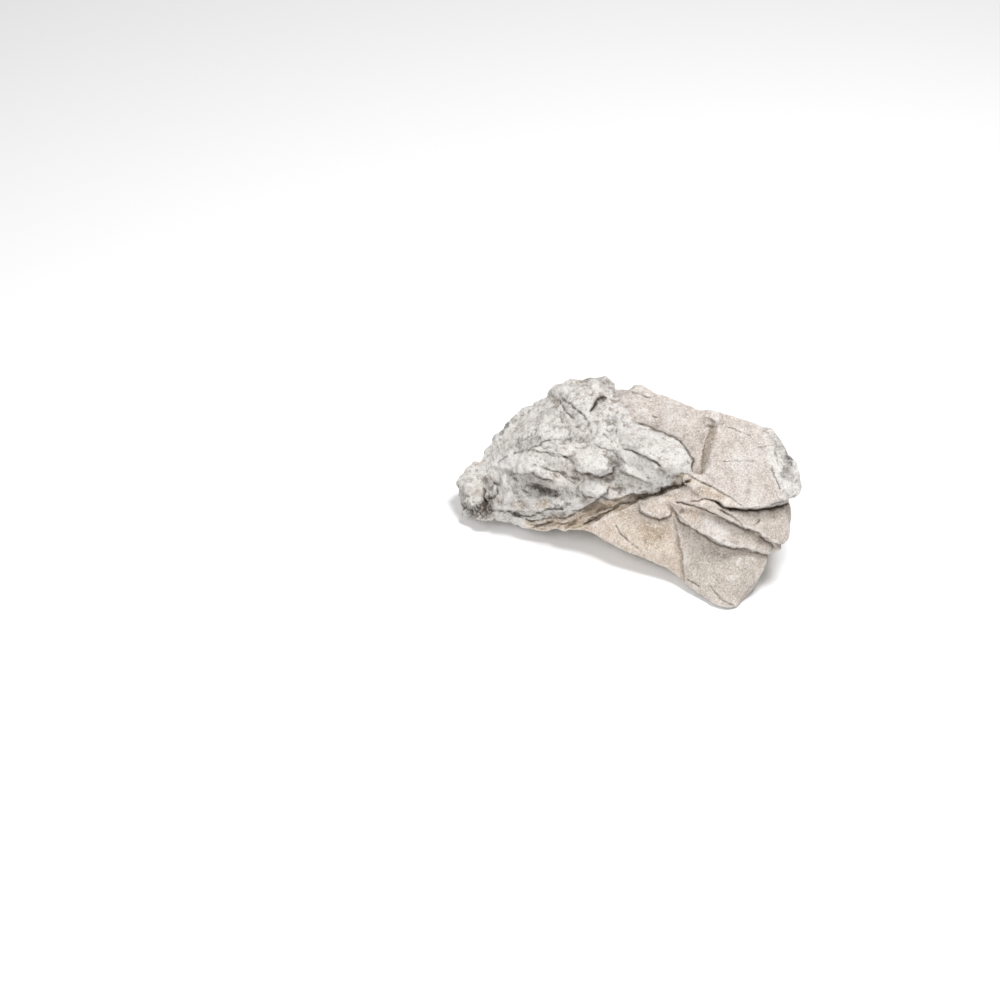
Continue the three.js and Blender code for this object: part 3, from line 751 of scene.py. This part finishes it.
# Scale per metre, detail, roughness and distortion of the noise in the colours
patterns = {
    "broad": (22, 4, 0.6, 0),
    "patches": (55, 6, 0.68, 0.5),
    "mottle": (170, 6, 0.72, 0),
    "grain": (820, 4, 0.8, 0),
    "tint": (95, 3, 0.6, 1.5),
    "streaks": (330, 5, 0.7, 2.5),
}
finish = {
    "specks": 430,  # per metre
    "bump": 0.0014,  # height of the finest relief, in metres
    "specular": 0.25,
}


def makeStone():
    stone = Shader("weathered limestone")
    colours = {name: paint(code) for name, code in stoneColours.items()}
    point = stone.node("ShaderNodeTexCoord", output=3)
    mass, seam, beds = [stone.attribute(name) for name in ("mass", "seam", "beds")]
    lines, hollow, wide = [stone.attribute(name) for name in ("lines", "hollow", "wideHollow")]
    grey, warm, pale, dark = [stone.attribute(name) for name in ("grey", "warm", "pale", "dark")]
    layers, strip, cool = [stone.attribute(name) for name in ("layers", "strip", "cool")]
    under = stone.attribute("under")
    noises = [stone.noise(point, *pattern) for pattern in patterns.values()]
    broad, patches, mottle, grain, tint, streaks = noises
    specks = stone.cells(point, finish["specks"])

    slab = stone.mix(colours["slab"], colours["slabShade"], mottle.between(0.42, 0.72) * 0.8)
    slab = stone.mix(slab, colours["massPale"], broad.between(0.5, 0.7) * 0.5)
    lower = stone.mix(colours["lower"], colours["lowerShade"], mottle.between(0.42, 0.72) * 0.75)
    plain = stone.mix(colours["coolLower"], colours["coolShade"], mottle.between(0.42, 0.72) * 0.7)
    lower = stone.mix(lower, plain, cool * 0.8)
    height = stone.node("ShaderNodeSeparateXYZ", {}, {"Vector": point}, output=2)
    bedded = stone.mix(slab, lower, beds * 0.7)
    smooth = stone.mix(lower, bedded, height.between(0.03, 0.055))

    rough = stone.mix(colours["massPale"], colours["massGrey"], patches.between(0.5, 0.68) * 0.45)
    rough = stone.mix(rough, colours["massWarm"], broad.between(0.45, 0.65) * 0.45)
    rough = stone.mix(rough, colours["rose"], tint.between(0.5, 0.62) * 0.5)
    rough = stone.mix(rough, colours["massGrey"], mottle.between(0.5, 0.64) * 0.65)
    rough = stone.mix(rough, colours["white"], (1 - mottle).between(0.48, 0.6) * 0.8)
    rough = stone.mix(rough, colours["speckAndShade"], streaks.between(0.56, 0.7) * 0.55)
    colour = stone.mix(smooth, rough, mass)
    colour = stone.mix(colour, colours["white"], pale * (0.45 + 0.55 * (1 - mottle).between(0.35, 0.6)))
    # grey ovals: partly the stone's own grey, partly painted shade
    colour = stone.mix(colour, colours["massGrey"], grey * (0.5 + 0.6 * mottle))
    # the step's left-facing riser: partly its own darker tone, partly painted shade
    colour = stone.mix(colour, colours["strip"], strip * 0.85)

    crumbs = stone.mix(colours["seam"], colours["seamDarkAndShade"], layers.between(0.28, 0.58) * 0.75)
    crumbs = stone.mix(colours["lower"], crumbs, patches.between(0.35, 0.55))
    colour = stone.mix(colour, crumbs, seam * 0.85)
    colour = stone.mix(colour, colours["stain"], warm * (0.3 + 0.5 * mottle))
    # painted shade: the dark ovals darken hollows, crevices, folds and undersides, with a few dark
    # patches of the stone itself
    colour = stone.mix(colour, colours["dark"], dark * (0.4 + 0.9 * mottle.between(0.35, 0.6)))
    specked = (1 - specks).between(0.8, 0.95) * grain.between(0.5, 0.62)
    colour = stone.mix(colour, colours["speckAndShade"], specked * (0.7 + 0.3 * mass))
    colour = stone.mix(colour, colours["white"], grain.between(0.5, 0.66) * 0.75)
    colour = stone.mix(colour, colours["speckAndShade"], (1 - grain).between(0.5, 0.7) * 0.65)
    colour = stone.mix(colour, colours["white"], (1 - hollow).between(0.6, 1) * (1 - mottle) * 0.75)
    # painted shade: hollows darkened with the seam's dark brown
    deep = hollow.between(0.6, 1) * (0.45 - 0.3 * pale - 0.2 * seam)
    colour = stone.mix(colour, colours["seamDarkAndShade"], deep)
    # painted shade: the wide hollows between lobes and fingers darkened
    shaded = wide.between(0.62, 1) * (0.1 + 0.4 * mottle) * (1 - 0.9 * pale)
    colour = stone.mix(colour, colours["speckAndShade"], shaded)
    # painted shade beneath the ledges, in the seam's dark brown
    colour = stone.mix(colour, colours["seamDarkAndShade"], under * (0.25 + 0.35 * mottle) * (1 - 0.6 * seam))
    colour = stone.mix(colour, colours["crack"], lines * 0.9)
    stone.finish("Base Color", colour)
    stone.finish("Roughness", 0.82 + 0.14 * mottle)

    relief = grain * (0.7 + 0.2 * mass) + mottle * (0.6 + 1.3 * mass) + specks * 0.3
    sockets = {"Height": relief, "Distance": finish["bump"], "Strength": 1}
    bump = stone.node("ShaderNodeBump", {}, sockets)
    stone.finish("Normal", bump)
    stone.surface.inputs["Specular IOR Level"].default_value = finish["specular"]
    return stone.material


ground = {"half": 8, "albedo": 0.96, "roughness": 0.9}


def makeFloor():
    mesh = bpy.data.meshes.new("floor")
    shape = bmesh.new()
    bmesh.ops.create_grid(shape, x_segments=1, y_segments=1, size=ground["half"])
    shape.to_mesh(mesh)
    shape.free()
    floor = bpy.data.objects.new("floor", mesh)
    bpy.context.scene.collection.objects.link(floor)
    pale = Shader("pale floor")
    pale.surface.inputs["Base Color"].default_value = (*[ground["albedo"]] * 3, 1)
    pale.surface.inputs["Roughness"].default_value = ground["roughness"]
    floor.data.materials.append(pale.material)


skyStrength = 0.4
lights = {
    "key": {"place": (0.35, -0.1, 1.45), "size": 0.45, "power": 16.5},
    "front": {"place": (-0.9, -1.1, 1.35), "size": 1.1, "power": 13},
}


def makeLights():
    world = bpy.data.worlds.new("studio")
    world.use_nodes = True
    world.node_tree.nodes["Background"].inputs["Color"].default_value = (1, 1, 1, 1)
    world.node_tree.nodes["Background"].inputs["Strength"].default_value = skyStrength
    bpy.context.scene.world = world
    for name, light in lights.items():
        lamp = bpy.data.lights.new(name, "AREA")
        lamp.size = light["size"]
        lamp.energy = light["power"]
        holder = bpy.data.objects.new(name, lamp)
        holder.location = light["place"]
        holder.rotation_mode = "QUATERNION"
        holder.rotation_quaternion = Vector(light["place"]).to_track_quat("Z", "Y")
        bpy.context.scene.collection.objects.link(holder)


skin = makeSkin()
markSkin(skin)
skin.data.materials.append(makeStone())
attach(skin, "root")
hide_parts("stone")
print("stone dressed")
makeFloor()
makeLights()
print("floor and lights set")
